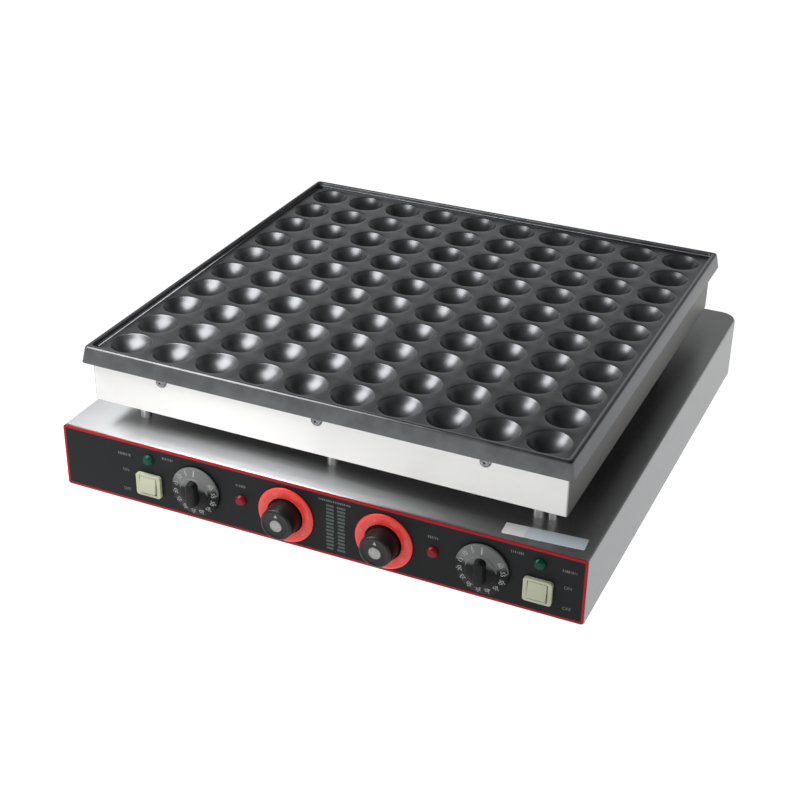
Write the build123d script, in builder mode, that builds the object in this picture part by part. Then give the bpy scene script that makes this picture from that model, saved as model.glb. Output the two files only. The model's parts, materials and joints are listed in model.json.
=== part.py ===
"""Electric takoyaki and mini-pancake griddle for the counter, with a hundred bowls and two heating zones.

A folded stainless base carries the controls. Six posts hold the heated head above it, clear of the air gap
that keeps the controls cool. The head is a sheet casing that the cast cooking plate closes like a lid.

Frame, in millimetres: X runs to the right seen from the front, Y to the rear, and Z up from the underside of
the feet. X = 0 and Y = 0 are the middle of the whole object, from the knobs' faces to the cable gland's end.
"""

from build123d import *
from math import atan, cos, degrees, radians, sin, sqrt
import os

os.makedirs("parts", exist_ok=True)

# ---------------------------------------------------------------- sizes
# Base box, folded from stainless sheet
base_width = 570.0
base_depth = 571.5
base_height = 71.0
sheet = 1.2
bend_radius = 3.0
rear_corner_radius = 20.0
bottom_flange = 16.0
front_flange = 6.0
foot_height = 12.0
foot_radius = 19.0
foot_bevel = 1.5
foot_inset = 62.0
cover_sheet = 1.0
cover_inset = 5.0
vent_length = 46.0
vent_width = 5.0
vent_pitch = 13.0
vents_per_bank = 6
vent_bank_spacing = 260.0

# Control panel and where its controls stand. Offsets count from the cluster's middle, heights from the
# lower edge of the base.
panel_thickness = 1.5
panel_corner_radius = 3.0
cluster_x = 28.5
thermostat_offset = 53.2
heat_lamp_offset = 104.0
timer_offset = 155.3
switch_offset = 211.0
thermostat_height = 34.0
heat_lamp_height = 36.5
timer_height = 34.0
power_lamp_height = 55.0
switch_height = 26.0

# Large round pieces that repeat are cut with this many flat sides, so that they stay light
round_sides = 32

# Gaps between pieces
loose_gap = 0.3
running_gap = 0.05
knob_lift = 1.0
knob_skirt = 1.0

# Shafts and the bushes that carry them
shaft_radius = 3.0
shaft_flat = 0.9
shaft_sunk = 10.0
bush_radius = 5.0

# Thermostats, their scale rings and knobs
thermostat_width = 44.0
thermostat_tall = 32.0
thermostat_deep = 26.0
ring_clearance = 1.5
ring_band = 11.0
ring_thickness = 3.2
ring_bevel = 1.4
thermostat_knob_reach = 22.5
thermostat_knob_radius = 18.0
thermostat_knob_face_radius = 15.5
thermostat_knob_bevel = 1.5
thermostat_bore_depth = 12.0
pointer_width = 5.0
pointer_drop = 0.4

# Timers and their dials
timer_width = 46.0
timer_deep = 30.0
dial_radius = 27.0
dial_thickness = 4.5
dial_bevel = 1.2
hub_radius = 16.0
hub_height = 1.6
hub_bevel = 1.2
grip_width = 12.0
grip_length = 30.0
grip_point = 4.0
grip_taper = 9.0
timer_knob_reach = 14.5
timer_bore_depth = 11.0

# Rocker switches
switch_side_wall = 2.85
switch_end_wall = 1.37
switch_frame_thickness = 4.0
switch_frame_radius = 3.0
switch_lip = 1.3
switch_body_deep = 22.0
switch_well = 13.0
rocker_pivot_depth = 1.5
rocker_face = 7.0
rocker_width = 19.6
rocker_half_height = 8.7
rocker_tail = 3.0
rocker_shoulder = 1.0
rocker_tilt = 10.0
rocker_pin_radius = 1.5
rocker_pin_length = 1.0

# Pilot lamps
lens_radius = 6.3
lens_facets = 12
lens_flange = 1.2
lens_height = 4.2
lens_bevel = 2.4
lamp_body_size = 8.0
lamp_body_length = 22.0
lamp_nut_across = 15.0
lamp_nut_thickness = 3.0

# Posts and wire conduit between base and head
head_gap = 28.0
post_radius = 5.5
post_side_inset = 38.0
post_front_inset = 33.5
post_rear_inset = 33.5
conduit_offset = 14.0
conduit_radius = 4.0
conduit_wall = 0.8

# Head casing
casing_height = 45.0
casing_side_setback = 6.5
casing_front_setback = 11.0
casing_rear_setback = 17.0
casing_corner_radius = 2.0
insulation_thickness = 15.0
insulation_margin = 4.0
wire_hole_size = 14.0

# Cooking plate
plate_setback = 9.0
side_margin = 12.0
end_margin = 12.5
lip_height = 18.0
lip_draft = 2.8
lip_corner_radius = 4.0
rim_width = 5.5
rim_height = 4.6
pan_corner_radius = 5.0
bowls_per_side = 10
bowl_pitch = 50.0
bowl_radius = 21.5
bowl_depth = 13.0
bowl_sides = 10
knee_radius = 15.0
bowl_flat_radius = 6.0
bowl_wall = 8.4
skirt_depth = 16.0
skirt_wall = 8.0
casting_gap = 0.4

# Heating under the plate
element_width = 9.0
element_thickness = 6.5
element_end_margin = 38.9
element_side_margin = 30.9
element_first = 35.0
element_runs = 4
bend_straight = 1.0
clamp_end_margin = 25.9
clamp_width = 18.0
clamp_thickness = 3.0
clamp_row_inset = 50.0
boss_size = 14.0
bolt_across = 10.0
bolt_height = 4.0
bulb_radius = 3.0
bulb_length = 120.0

# Terminal block, cable gland and bonding stud at the rear
terminal_length = 62.0
terminal_depth = 24.0
terminal_height = 20.0
terminal_ways = 5
terminal_slot = 7.0
terminal_slot_depth = 8.0
terminal_setback = 48.0
gland_x = -205.0
gland_height = 36.0
gland_bore_radius = 5.0
gland_barrel_radius = 10.0
gland_across = 27.0
gland_flange = 6.0
gland_cap_radius = 12.0
gland_cap_bevel = 3.0
gland_reach = 18.0
gland_barrel_inside = 12.0
locknut_thickness = 4.0
bond_x = -150.0
bond_height = 24.0
bond_radius = 3.0
bond_reach = 14.0
bond_inside = 5.0
bond_across = 12.0
bond_nut_thickness = 5.0

# ---------------------------------------------------------------- levels and places worked out from the sizes
overall_depth = thermostat_knob_reach + base_depth + gland_reach
y_panel = thermostat_knob_reach - overall_depth / 2
y_shell = y_panel + panel_thickness
y_rear = y_panel + base_depth
shell_depth = base_depth - panel_thickness
y_shell_middle = (y_shell + y_rear) / 2

plate_width = bowls_per_side * bowl_pitch + 2 * side_margin
plate_depth = bowls_per_side * bowl_pitch + 2 * end_margin
casing_width = plate_width - 2 * casing_side_setback
casing_depth = plate_depth - casing_front_setback - casing_rear_setback

z_base = foot_height
z_base_top = z_base + base_height
z_casing = z_base_top + head_gap
z_lip = z_casing + casing_height
z_rim = z_lip + lip_height
z_pan = z_rim - rim_height
z_web = z_pan - bowl_depth - bowl_wall
clamp_gap = max(element_thickness, 2 * bulb_radius)
z_clamp = z_web - clamp_gap

y_plate = y_panel + plate_setback + plate_depth / 2
y_casing = y_panel + plate_setback + casing_front_setback + casing_depth / 2
casting_width = casing_width - 2 * sheet - 2 * casting_gap
casting_depth = casing_depth - 2 * sheet - 2 * casting_gap
cavity_width = casting_width - 2 * skirt_wall
cavity_depth = casting_depth - 2 * skirt_wall

post_reach = casing_width / 2 - post_side_inset
post_x = {"left": -post_reach, "middle": 0.0, "right": post_reach}
post_y = {
    "front": y_casing - casing_depth / 2 + post_front_inset,
    "rear": y_casing + casing_depth / 2 - post_rear_inset,
}
conduit_x = post_x["right"] + conduit_offset
conduit_y = post_y["front"]

element_end = cavity_depth / 2 - element_end_margin
element_pitch = (cavity_width / 2 - element_side_margin - element_first) / (element_runs - 1)
element_bend = element_pitch / 2 - bend_straight
clamp_length = cavity_width - 2 * clamp_end_margin
clamp_spacing = element_end - clamp_row_inset
boss_spacing = element_first + (element_runs - 1.5) * element_pitch

shaft_back = panel_thickness + shaft_sunk
ring_bore_radius = thermostat_knob_radius + ring_clearance
ring_radius = ring_bore_radius + ring_band
rocker_swing = rocker_half_height * cos(radians(rocker_tilt)) + rocker_face * sin(radians(rocker_tilt))
well_width = rocker_width + 2 * loose_gap
well_height = 2 * (rocker_swing + loose_gap)
switch_body_width = well_width + 2 * switch_side_wall
switch_body_height = well_height + 2 * switch_end_wall
switch_frame_width = switch_body_width + 2 * switch_lip
switch_frame_height = switch_body_height + 2 * switch_lip
lamp_hole_size = lamp_body_size + 2 * loose_gap
sides = {"left": -1, "right": 1}


# ---------------------------------------------------------------- helpers
def save(piece, label):
    """Name a finished piece and write it as one file."""
    piece.label = label
    export_step(piece, f"parts/{label}.step")


def on_panel(x, height, out=0.0):
    """Plane on the control panel's face, looking out. height counts from the base's lower edge."""
    return Plane(origin=(x, y_panel - out, z_base + height), x_dir=(1, 0, 0), z_dir=(0, -1, 0))


def on_rear(x, height, out=0.0):
    """Plane on the rear wall's outer face, looking out to the rear."""
    return Plane(origin=(x, y_rear + out, z_base + height), x_dir=(-1, 0, 0), z_dir=(0, 1, 0))


def control_x(offset, side):
    """X of a control on the left or right half of the panel."""
    return cluster_x + side * offset


def hexagon(across):
    """Hexagon with the given width across its flats."""
    RegularPolygon(radius=across / 2, side_count=6, major_radius=False)


def round_section(radius):
    """Round section of a large piece, with its corners on the given radius."""
    RegularPolygon(radius=radius, side_count=round_sides)


def front_of(piece):
    """Foremost face of a piece that stands out from the panel."""
    return piece.faces().sort_by(Axis.Y)[0]


def base_section(height, inset):
    """Plan of the base box at a level, drawn in from its outside by inset, with its rear corners rounded."""
    with BuildSketch(Plane.XY.offset(height)) as section:
        with Locations((0, y_shell_middle)):
            Rectangle(base_width - 2 * inset, shell_depth - 2 * inset)
        fillet(section.vertices().group_by(Axis.Y)[-1], rear_corner_radius - inset)
    return section.sketch


# ---------------------------------------------------------------- base
with BuildPart() as base_shell:
    extrude(base_section(z_base, 0), amount=base_height)
    fillet(base_shell.faces().sort_by(Axis.Z)[-1].edges(), bend_radius)
    extrude(base_section(z_base + sheet, sheet), amount=base_height - 2 * sheet, mode=Mode.SUBTRACT)
    extrude(base_section(z_base, bottom_flange), amount=sheet, mode=Mode.SUBTRACT)
    with BuildSketch(on_panel(0, base_height / 2, -panel_thickness)):
        Rectangle(base_width - 2 * front_flange, base_height - 2 * front_flange)
    extrude(amount=-sheet, mode=Mode.SUBTRACT)
    with BuildSketch(Plane.XY.offset(z_base_top)):
        with Locations((conduit_x, conduit_y)):
            Circle(conduit_radius + loose_gap)
    extrude(amount=-sheet, mode=Mode.SUBTRACT)
    with BuildSketch(on_rear(gland_x, gland_height)):
        round_section(gland_barrel_radius + loose_gap)
    extrude(amount=-sheet, mode=Mode.SUBTRACT)
    with BuildSketch(on_rear(bond_x, bond_height)):
        Circle(bond_radius + loose_gap)
    extrude(amount=-sheet, mode=Mode.SUBTRACT)
save(base_shell.part, "base_shell")

with BuildPart() as base_cover:
    extrude(base_section(z_base - cover_sheet, cover_inset), amount=cover_sheet)
    with BuildSketch(Plane.XY.offset(z_base - cover_sheet)):
        with Locations((0, y_shell_middle)):
            with GridLocations(vent_bank_spacing, 0, 2, 1):
                with GridLocations(0, vent_pitch, 1, vents_per_bank):
                    Rectangle(vent_length, vent_width)
    extrude(amount=cover_sheet, mode=Mode.SUBTRACT)
save(base_cover.part, "base_cover")

foot_y = {"front": y_shell + foot_inset, "rear": y_rear - foot_inset}
for row, y in foot_y.items():
    for name, side in sides.items():
        x = side * (base_width / 2 - foot_inset)
        height = foot_height - cover_sheet
        with BuildPart() as foot:
            with BuildSketch():
                with Locations((x, y)):
                    round_section(foot_radius)
            extrude(amount=height)
            chamfer(foot.edges().group_by(Axis.Z)[0], foot_bevel)
        save(foot.part, f"foot_{row}_{name}")

# ---------------------------------------------------------------- control panel
with BuildPart() as control_panel:
    with BuildSketch(on_panel(0, base_height / 2)):
        RectangleRounded(base_width, base_height, panel_corner_radius)
    extrude(amount=-panel_thickness)
    for side in sides.values():
        with BuildSketch(on_panel(control_x(thermostat_offset, side), thermostat_height)):
            round_section(bush_radius + running_gap)
        extrude(amount=-panel_thickness, mode=Mode.SUBTRACT)
        with BuildSketch(on_panel(control_x(timer_offset, side), timer_height)):
            round_section(bush_radius + running_gap)
        extrude(amount=-panel_thickness, mode=Mode.SUBTRACT)
        with BuildSketch(on_panel(control_x(heat_lamp_offset, side), heat_lamp_height)):
            Rectangle(lamp_hole_size, lamp_hole_size)
        extrude(amount=-panel_thickness, mode=Mode.SUBTRACT)
        with BuildSketch(on_panel(control_x(switch_offset, side), power_lamp_height)):
            Rectangle(lamp_hole_size, lamp_hole_size)
        extrude(amount=-panel_thickness, mode=Mode.SUBTRACT)
        with BuildSketch(on_panel(control_x(switch_offset, side), switch_height)):
            Rectangle(switch_body_width + 2 * loose_gap, switch_body_height + 2 * loose_gap)
        extrude(amount=-panel_thickness, mode=Mode.SUBTRACT)
save(control_panel.part, "control_panel")


def controller(label, x, height, width, tall, deep):
    """Thermostat or timer behind the panel: a box with the bush that its shaft turns in."""
    with BuildPart() as body:
        with BuildSketch(on_panel(x, height, -panel_thickness)):
            Rectangle(width, tall)
        extrude(amount=-deep)
        with BuildSketch(on_panel(x, height, -panel_thickness)):
            round_section(bush_radius)
        extrude(amount=panel_thickness)
        with BuildSketch(on_panel(x, height)):
            Circle(shaft_radius + running_gap)
        extrude(amount=-shaft_back - loose_gap, mode=Mode.SUBTRACT)
    save(body.part, label)


def d_section(clearance):
    """Round shaft section with its flat at the top, grown all round by a clearance."""
    Circle(shaft_radius + clearance)
    with Locations((0, shaft_radius - shaft_flat + clearance)):
        Rectangle(
            3 * shaft_radius, shaft_radius, align=(Align.CENTER, Align.MIN), mode=Mode.SUBTRACT
        )


def shaft(label, x, height, knob_bore_top):
    """Control shaft: round in the bush, with a flat for the knob in front of the panel."""
    with BuildPart() as spindle:
        with BuildSketch(on_panel(x, height, -shaft_back)):
            Circle(shaft_radius)
        extrude(amount=shaft_back)
        with BuildSketch(on_panel(x, height)):
            d_section(0)
        extrude(amount=knob_bore_top - loose_gap)
    save(spindle.part, label)


def scale_ring(label, x):
    """Raised ring round a thermostat knob, with a bevelled outer edge."""
    with BuildPart() as ring:
        with BuildSketch(on_panel(x, thermostat_height)):
            round_section(ring_radius)
        extrude(amount=ring_thickness)
        face = front_of(ring)
        chamfer(face.edges(), 2 * ring_bevel, ring_bevel, reference=face)
        with BuildSketch(on_panel(x, thermostat_height)):
            round_section(ring_bore_radius)
        extrude(amount=ring_thickness, mode=Mode.SUBTRACT)
    save(ring.part, label)


def thermostat_knob(label, x):
    """Tapered round knob on a short skirt, with a raised pointer at its top and a flatted shaft bore."""
    taper_run = thermostat_knob_radius - thermostat_knob_face_radius - thermostat_knob_bevel
    taper_rise = thermostat_knob_reach - knob_lift - knob_skirt
    pointer_reach = thermostat_knob_radius / 2 - pointer_drop
    with BuildPart() as knob:
        with BuildSketch(on_panel(x, thermostat_height, knob_lift)):
            round_section(thermostat_knob_radius)
        extrude(amount=thermostat_knob_reach - knob_lift)
        face = front_of(knob)
        chamfer(face.edges(), taper_run, taper_rise, reference=face)
        chamfer(front_of(knob).edges(), thermostat_knob_bevel)
        with BuildSketch(on_panel(x, thermostat_height, ring_thickness + loose_gap)):
            with Locations((0, thermostat_knob_radius / 2)):
                Rectangle(pointer_width, pointer_reach, align=(Align.CENTER, Align.MIN))
        extrude(amount=thermostat_knob_reach - ring_thickness - loose_gap)
        with BuildSketch(on_panel(x, thermostat_height, knob_lift)):
            d_section(running_gap)
        extrude(amount=thermostat_bore_depth - knob_lift, mode=Mode.SUBTRACT)
    save(knob.part, label)


def timer_knob(label, x):
    """Flat dial that carries the minutes, with a low hub and a tapered grip to turn it by."""
    dial_face = knob_lift + dial_thickness
    with BuildPart() as knob:
        with BuildSketch(on_panel(x, timer_height, knob_lift)):
            round_section(dial_radius)
        extrude(amount=dial_thickness)
        chamfer(front_of(knob).edges(), dial_bevel)
        with BuildSketch(on_panel(x, timer_height, dial_face)):
            round_section(hub_radius)
        extrude(amount=hub_height)
        chamfer(front_of(knob).edges(), hub_bevel)
        with BuildSketch(on_panel(x, timer_height, dial_face)) as grip:
            Rectangle(grip_width, grip_length)
            chamfer(grip.vertices(), grip_point)
        extrude(amount=timer_knob_reach - dial_face, taper=grip_taper)
        with BuildSketch(on_panel(x, timer_height, knob_lift)):
            d_section(running_gap)
        extrude(amount=timer_bore_depth - knob_lift, mode=Mode.SUBTRACT)
    save(knob.part, label)


def switch_housing(label, x):
    """Rocker switch body: a rounded frame, the box behind it, and the well that the rocker moves in."""
    with BuildPart() as housing:
        with BuildSketch(on_panel(x, switch_height)):
            RectangleRounded(switch_frame_width, switch_frame_height, switch_frame_radius)
        extrude(amount=switch_frame_thickness)
        with BuildSketch(on_panel(x, switch_height)):
            Rectangle(switch_body_width, switch_body_height)
        extrude(amount=-switch_body_deep)
        with BuildSketch(on_panel(x, switch_height, switch_frame_thickness)):
            Rectangle(well_width, well_height)
        extrude(amount=-switch_well, mode=Mode.SUBTRACT)
        pin_plane = Plane(
            origin=(x, y_panel + rocker_pivot_depth, z_base + switch_height),
            x_dir=(0, 1, 0),
            z_dir=(1, 0, 0),
        )
        with BuildSketch(pin_plane):
            Circle(rocker_pin_radius + running_gap)
        extrude(
            amount=well_width / 2 + rocker_pin_length + running_gap, both=True, mode=Mode.SUBTRACT
        )
    save(housing.part, label)


def rocker(label, x):
    """Rocker cap on its own pins. It rests with its upper half pressed in, which is on."""
    tilt = radians(rocker_tilt)
    pivot = Plane(
        origin=(x, y_panel + rocker_pivot_depth, z_base + switch_height),
        x_dir=(0, -cos(tilt), sin(tilt)),
        z_dir=(-1, 0, 0),
    )
    with BuildPart() as cap:
        with BuildSketch(pivot):
            Polygon(
                (rocker_face, rocker_half_height),
                (rocker_face, -rocker_half_height),
                (0, -rocker_half_height + rocker_shoulder),
                (-rocker_tail, -rocker_tail),
                (-rocker_tail, rocker_tail),
                (0, rocker_half_height - rocker_shoulder),
                align=None,
            )
        extrude(amount=rocker_width / 2, both=True)
        with BuildSketch(pivot):
            Circle(rocker_pin_radius)
        extrude(amount=well_width / 2 + rocker_pin_length, both=True)
    save(cap.part, label)


def pilot_lamp(kind, name, x, height):
    """Pilot lamp: a faceted lens in front of the panel, and the square lamp body with its nut behind it."""
    with BuildPart() as lens:
        with BuildSketch(on_panel(x, height)):
            RegularPolygon(radius=lens_radius, side_count=lens_facets)
        extrude(amount=lens_height)
        crown = front_of(lens)
        chamfer(crown.edges(), lens_bevel, lens_height - lens_flange, reference=crown)
    save(lens.part, f"{kind}_lens_{name}")
    with BuildPart() as body:
        with BuildSketch(on_panel(x, height)):
            Rectangle(lamp_body_size, lamp_body_size)
        extrude(amount=-lamp_body_length)
        with BuildSketch(on_panel(x, height, -panel_thickness)):
            hexagon(lamp_nut_across)
        extrude(amount=-lamp_nut_thickness)
    save(body.part, f"{kind}_lamp_{name}")


for name, side in sides.items():
    x = control_x(thermostat_offset, side)
    controller(
        f"thermostat_{name}", x, thermostat_height, thermostat_width, thermostat_tall, thermostat_deep
    )
    shaft(f"thermostat_shaft_{name}", x, thermostat_height, thermostat_bore_depth)
    scale_ring(f"scale_ring_{name}", x)
    thermostat_knob(f"thermostat_knob_{name}", x)

    x = control_x(timer_offset, side)
    controller(f"timer_{name}", x, timer_height, timer_width, timer_width, timer_deep)
    shaft(f"timer_shaft_{name}", x, timer_height, timer_bore_depth)
    timer_knob(f"timer_knob_{name}", x)

    x = control_x(switch_offset, side)
    switch_housing(f"switch_housing_{name}", x)
    rocker(f"rocker_{name}", x)
    pilot_lamp("power", name, x, power_lamp_height)
    pilot_lamp("heat", name, control_x(heat_lamp_offset, side), heat_lamp_height)

# ---------------------------------------------------------------- rear of the base
with BuildPart() as terminal_block:
    with BuildSketch(Plane.XY.offset(z_base)):
        with Locations((gland_x, y_rear - sheet - terminal_setback)):
            Rectangle(terminal_length, terminal_depth)
    extrude(amount=terminal_height)
    with BuildSketch(Plane.XY.offset(z_base + terminal_height)):
        with Locations((gland_x, y_rear - sheet - terminal_setback)):
            with GridLocations(terminal_length / terminal_ways, 0, terminal_ways, 1):
                Rectangle(terminal_slot, terminal_depth)
    extrude(amount=-terminal_slot_depth, mode=Mode.SUBTRACT)
save(terminal_block.part, "terminal_block")

with BuildPart() as gland_body:
    with BuildSketch(on_rear(gland_x, gland_height)):
        hexagon(gland_across)
    extrude(amount=gland_flange)
    with BuildSketch(on_rear(gland_x, gland_height)):
        round_section(gland_barrel_radius)
    extrude(amount=-sheet - gland_barrel_inside)
    with BuildSketch(on_rear(gland_x, gland_height, gland_flange)):
        Circle(gland_bore_radius)
    extrude(amount=-gland_flange - sheet - gland_barrel_inside, mode=Mode.SUBTRACT)
save(gland_body.part, "gland_body")

with BuildPart() as gland_cap:
    with BuildSketch(on_rear(gland_x, gland_height, gland_flange)):
        round_section(gland_cap_radius)
    extrude(amount=gland_reach - gland_flange)
    chamfer(gland_cap.faces().sort_by(Axis.Y)[-1].edges(), gland_cap_bevel)
    with BuildSketch(on_rear(gland_x, gland_height, gland_flange)):
        Circle(gland_bore_radius)
    extrude(amount=gland_reach - gland_flange, mode=Mode.SUBTRACT)
save(gland_cap.part, "gland_cap")

with BuildPart() as gland_locknut:
    with BuildSketch(on_rear(gland_x, gland_height, -sheet)):
        hexagon(gland_across)
    extrude(amount=-locknut_thickness)
    with BuildSketch(on_rear(gland_x, gland_height, -sheet)):
        round_section(gland_barrel_radius + running_gap)
    extrude(amount=-locknut_thickness, mode=Mode.SUBTRACT)
save(gland_locknut.part, "gland_locknut")

with BuildPart() as bonding_stud:
    with BuildSketch(on_rear(bond_x, bond_height, bond_reach)):
        Circle(bond_radius)
    extrude(amount=-bond_reach - sheet - bond_inside)
    with BuildSketch(on_rear(bond_x, bond_height)):
        hexagon(bond_across)
    extrude(amount=bond_nut_thickness)
save(bonding_stud.part, "bonding_stud")

# ---------------------------------------------------------------- posts and conduit
for row, y in post_y.items():
    for name, x in post_x.items():
        with BuildPart() as post:
            with BuildSketch(Plane.XY.offset(z_base_top)):
                with Locations((x, y)):
                    round_section(post_radius)
            extrude(amount=head_gap)
        save(post.part, f"post_{row}_{name}")

with BuildPart() as wire_conduit:
    with BuildSketch(Plane.XY.offset(z_base_top - sheet)) as tube:
        with Locations((conduit_x, conduit_y)):
            round_section(conduit_radius)
        offset(tube.sketch, amount=-conduit_wall, mode=Mode.SUBTRACT)
    extrude(amount=head_gap + 2 * sheet)
save(wire_conduit.part, "wire_conduit")

# ---------------------------------------------------------------- head casing
with BuildPart() as head_casing:
    with BuildSketch(Plane.XY.offset(z_casing)):
        with Locations((0, y_casing)):
            RectangleRounded(casing_width, casing_depth, casing_corner_radius)
    extrude(amount=casing_height)
    with BuildSketch(Plane.XY.offset(z_casing + sheet)):
        with Locations((0, y_casing)):
            Rectangle(casing_width - 2 * sheet, casing_depth - 2 * sheet)
    extrude(amount=casing_height - sheet, mode=Mode.SUBTRACT)
    with BuildSketch(Plane.XY.offset(z_casing)):
        with Locations((conduit_x, conduit_y)):
            Circle(conduit_radius + loose_gap)
    extrude(amount=sheet, mode=Mode.SUBTRACT)
save(head_casing.part, "head_casing")

with BuildPart() as insulation_board:
    with BuildSketch(Plane.XY.offset(z_casing + sheet)):
        with Locations((0, y_casing)):
            Rectangle(casting_width - 2 * insulation_margin, casting_depth - 2 * insulation_margin)
        with Locations((conduit_x, conduit_y)):
            Rectangle(wire_hole_size, wire_hole_size, mode=Mode.SUBTRACT)
    extrude(amount=insulation_thickness)
save(insulation_board.part, "insulation_board")

# ---------------------------------------------------------------- cooking plate
# One bowl as a cutter: a prism bevelled twice, steep above and shallow below. Both bevels follow the sphere
# through the bowl's rim and depth, and flat facets stand for its curve so that a hundred of them stay light.
sphere_radius = (bowl_radius**2 + bowl_depth**2) / (2 * bowl_depth)


def bowl_depth_at(radius):
    """Depth of the bowl's sphere below the pan floor at a radius from its middle."""
    return bowl_depth - sphere_radius + sqrt(sphere_radius**2 - radius**2)


bowl_bottom = bowl_depth_at(bowl_flat_radius)
knee_depth = bowl_depth_at(knee_radius)
steep_run = (bowl_radius - knee_radius) * bowl_bottom / knee_depth
steep_end = bowl_radius - steep_run

with BuildPart() as bowl_cutter:
    with BuildSketch(Plane.XY.offset(rim_height)):
        RegularPolygon(radius=bowl_radius, side_count=bowl_sides, major_radius=False)
    extrude(amount=-rim_height - bowl_bottom)
    bottom = bowl_cutter.faces().sort_by(Axis.Z)[0]
    chamfer(bottom.edges(), steep_run, bowl_bottom, reference=bottom)
    bottom = bowl_cutter.faces().sort_by(Axis.Z)[0]
    knee_back = sqrt((knee_radius - steep_end) ** 2 + (bowl_bottom - knee_depth) ** 2)
    chamfer(bottom.edges(), steep_end - bowl_flat_radius, knee_back, reference=bottom)

with BuildPart() as cooking_plate:
    with BuildSketch(Plane.XY.offset(z_lip)):
        with Locations((0, y_plate)):
            RectangleRounded(plate_width, plate_depth, lip_corner_radius)
    extrude(amount=lip_height, taper=degrees(atan(lip_draft / lip_height)))
    with BuildSketch(Plane.XY.offset(z_lip)):
        with Locations((0, y_casing)):
            Rectangle(casting_width, casting_depth)
    extrude(amount=-skirt_depth)
    with BuildSketch(Plane.XY.offset(z_web)):
        with Locations((0, y_casing)):
            Rectangle(cavity_width, cavity_depth)
    extrude(amount=-skirt_depth, mode=Mode.SUBTRACT)
    with BuildSketch(Plane.XY.offset(z_web)):
        with Locations((0, y_plate)):
            with GridLocations(boss_spacing, clamp_spacing, 3, 3):
                Rectangle(boss_size, boss_size)
    extrude(amount=-clamp_gap)
    with BuildSketch(Plane.XY.offset(z_rim)):
        with Locations((0, y_plate)):
            RectangleRounded(
                plate_width - 2 * lip_draft - 2 * rim_width,
                plate_depth - 2 * lip_draft - 2 * rim_width,
                pan_corner_radius,
            )
    extrude(amount=-rim_height, mode=Mode.SUBTRACT)
    with Locations((0, y_plate, z_pan)):
        with GridLocations(bowl_pitch, bowl_pitch, bowls_per_side, bowls_per_side):
            add(bowl_cutter.part, mode=Mode.SUBTRACT)
save(cooking_plate.part, "cooking_plate")

# ---------------------------------------------------------------- heating
for name, side in sides.items():
    run_x = [side * (element_first + n * element_pitch) for n in range(element_runs)]
    corners = []
    for n, x in enumerate(run_x):
        ends = [(x, y_plate + element_end), (x, y_plate - element_end)]
        corners += ends if n % 2 == 0 else ends[::-1]
    with BuildPart() as element:
        with BuildSketch(Plane.XY.offset(z_web)):
            with BuildLine() as route:
                FilletPolyline(*corners, radius=element_bend)
            trace(line_width=element_width)
        extrude(amount=-element_thickness)
    save(element.part, f"heating_element_{name}")

    bulb_x = side * (element_first + 1.5 * element_pitch)
    with BuildPart() as bulb:
        middle = Plane(origin=(bulb_x, y_plate, z_clamp + bulb_radius), z_dir=(0, 1, 0))
        with BuildSketch(middle):
            Circle(bulb_radius)
        extrude(amount=bulb_length / 2, both=True)
    save(bulb.part, f"thermostat_bulb_{name}")

clamp_rows = {"front": -1, "middle": 0, "rear": 1}
for row, step in clamp_rows.items():
    with BuildPart() as clamp_bar:
        with BuildSketch(Plane.XY.offset(z_clamp)):
            with Locations((0, y_plate + step * clamp_spacing)):
                Rectangle(clamp_length, clamp_width)
        extrude(amount=-clamp_thickness)
    save(clamp_bar.part, f"clamp_bar_{row}")

with BuildPart() as clamp_bolts:
    with BuildSketch(Plane.XY.offset(z_clamp - clamp_thickness)):
        with Locations((0, y_plate)):
            with GridLocations(boss_spacing, clamp_spacing, 3, 3):
                hexagon(bolt_across)
    extrude(amount=-bolt_height)
save(clamp_bolts.part, "clamp_bolts")
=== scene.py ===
# %% [markdown]
# # An electric griddle with a hundred bowls
# This lesson dresses a CAD model of a counter griddle for takoyaki and mini pancakes. A folded steel base
# carries two sets of controls, and a heated head with a cast plate stands over it on posts. The CAD gives
# every piece its place and size. Here each gets its finish, and the plain ones get a finer mesh.

# %% Load the frame
import json
import math

import bmesh
import bpy
from mathutils import Matrix, Vector


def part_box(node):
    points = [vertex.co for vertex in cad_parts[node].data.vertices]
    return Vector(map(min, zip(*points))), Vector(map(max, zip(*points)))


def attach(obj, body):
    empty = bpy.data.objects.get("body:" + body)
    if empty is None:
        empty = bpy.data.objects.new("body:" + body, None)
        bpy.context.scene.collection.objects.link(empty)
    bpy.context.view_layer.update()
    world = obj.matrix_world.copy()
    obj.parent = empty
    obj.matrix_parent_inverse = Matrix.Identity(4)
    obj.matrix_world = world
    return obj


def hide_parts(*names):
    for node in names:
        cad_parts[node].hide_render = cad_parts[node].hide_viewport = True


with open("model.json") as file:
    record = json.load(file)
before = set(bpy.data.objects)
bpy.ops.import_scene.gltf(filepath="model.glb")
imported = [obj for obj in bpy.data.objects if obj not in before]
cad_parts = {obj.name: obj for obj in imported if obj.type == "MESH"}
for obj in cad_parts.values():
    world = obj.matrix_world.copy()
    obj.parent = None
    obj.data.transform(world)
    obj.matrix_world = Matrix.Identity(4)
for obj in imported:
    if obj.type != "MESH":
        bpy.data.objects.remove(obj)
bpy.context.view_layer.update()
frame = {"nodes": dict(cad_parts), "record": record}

# %% [markdown]
# ## Units and small helpers
# Sizes are written in millimetres, as on drawings, and turned into metres at the last moment. Colours are
# read off as sRGB hex codes, and shaders want linear light, so one function turns them.

# %% Units, colours and nodes
MM = 0.001
SIDES = ("left", "right")


def linear(code):
    """Linear colour from an sRGB hex code."""
    channels = [int(code[place:place + 2], 16) / 255 for place in (1, 3, 5)]
    curve = [c / 12.92 if c <= 0.04045 else ((c + 0.055) / 1.055) ** 2.4 for c in channels]
    return (*curve, 1.0)


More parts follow.
